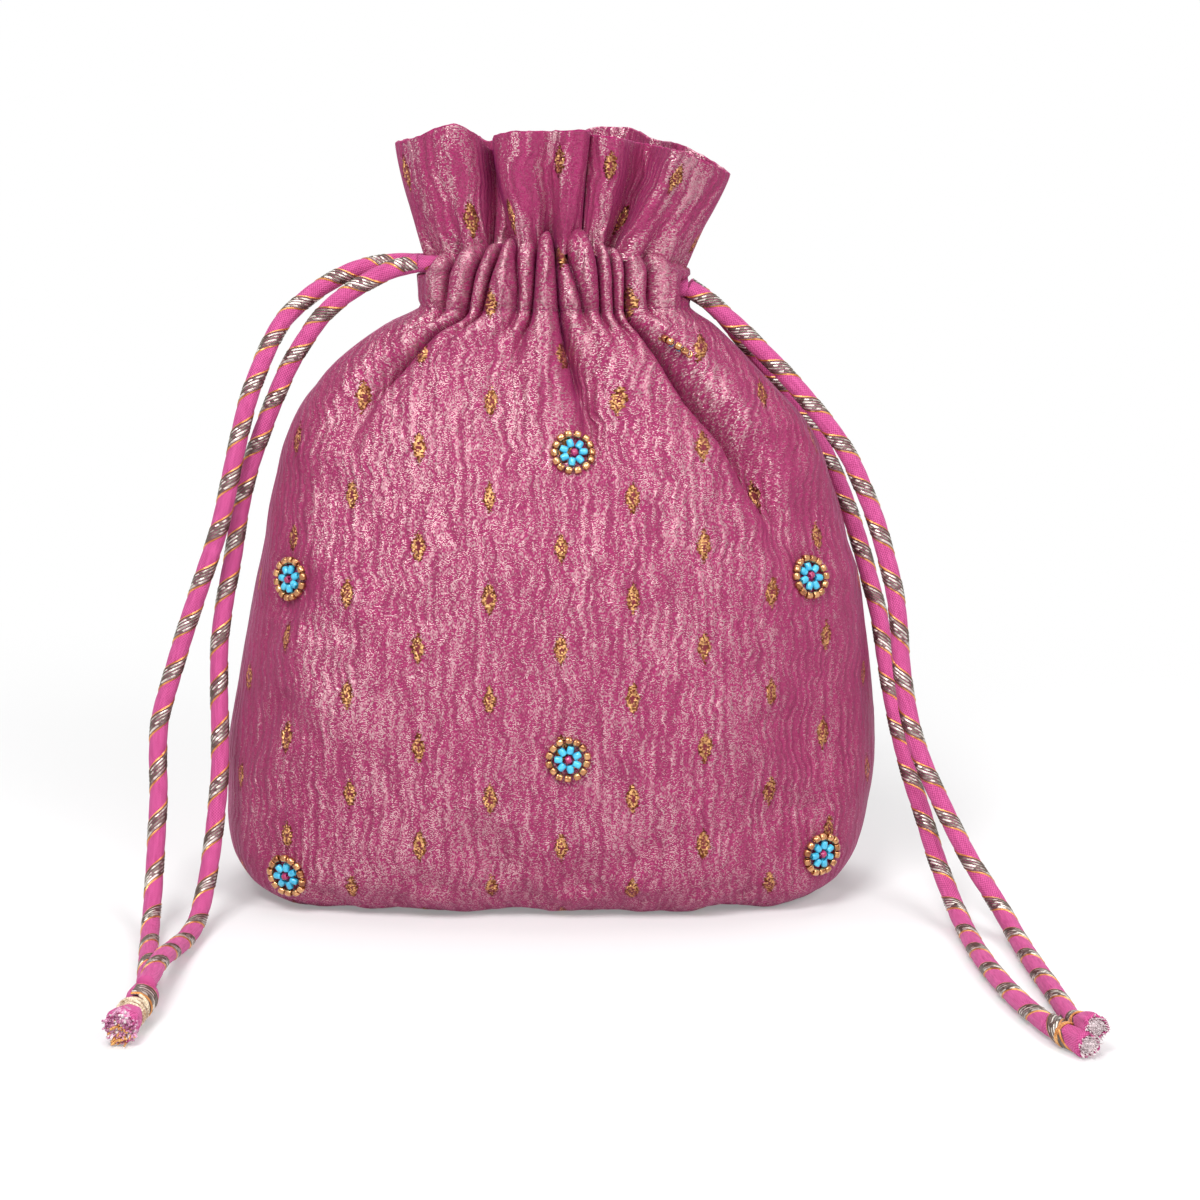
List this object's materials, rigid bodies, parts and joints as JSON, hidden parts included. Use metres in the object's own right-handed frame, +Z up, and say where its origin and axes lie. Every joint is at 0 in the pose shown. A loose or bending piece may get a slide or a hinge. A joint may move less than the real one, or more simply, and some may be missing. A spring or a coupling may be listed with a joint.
{
  "type": "potli bag",
  "caption": "Drawstring pouch of shot tissue cloth, filled and pulled shut at a gathered neck with an open frill, with bead flowers and cord ties that lie on the ground",
  "frame": {"origin": "on the ground under the middle of the bag", "axes": "+Z up, the front with the bead flowers faces -Y, +X to the right seen from the front"},
  "size_m": [0.2453, 0.203, 0.2137],
  "materials": {
    "tissue": "shot magenta tissue with a metallic weft and small woven gold lozenges",
    "cord": "pink cotton cord wound with a silver grey ribbon edged in copper",
    "thread": "cream and gold binding thread over frayed ends",
    "gold_beads": "copper gold glass seed beads",
    "turquoise_beads": "opaque turquoise glass beads",
    "ruby_beads": "ruby glass bead"
  },
  "bodies": {
    "root": {"pouch": "tissue", "left_drawstring": "cord", "right_drawstring": "cord", "left_end_knot": "thread", "right_end_knot": "thread", "flower_top_middle_centre": "ruby_beads", "flower_top_middle_petals": "turquoise_beads", "flower_top_middle_ring": "gold_beads", "flower_low_middle_centre": "ruby_beads", "flower_low_middle_petals": "turquoise_beads", "flower_low_middle_ring": "gold_beads", "flower_left_side_centre": "ruby_beads", "flower_left_side_petals": "turquoise_beads", "flower_left_side_ring": "gold_beads", "flower_left_corner_centre": "ruby_beads", "flower_left_corner_petals": "turquoise_beads", "flower_left_corner_ring": "gold_beads", "flower_right_side_centre": "ruby_beads", "flower_right_side_petals": "turquoise_beads", "flower_right_side_ring": "gold_beads", "flower_right_corner_centre": "ruby_beads", "flower_right_corner_petals": "turquoise_beads", "flower_right_corner_ring": "gold_beads", "flower_right_shoulder_centre": "ruby_beads", "flower_right_shoulder_petals": "turquoise_beads", "flower_right_shoulder_ring": "gold_beads"}
  },
  "joints": []
}
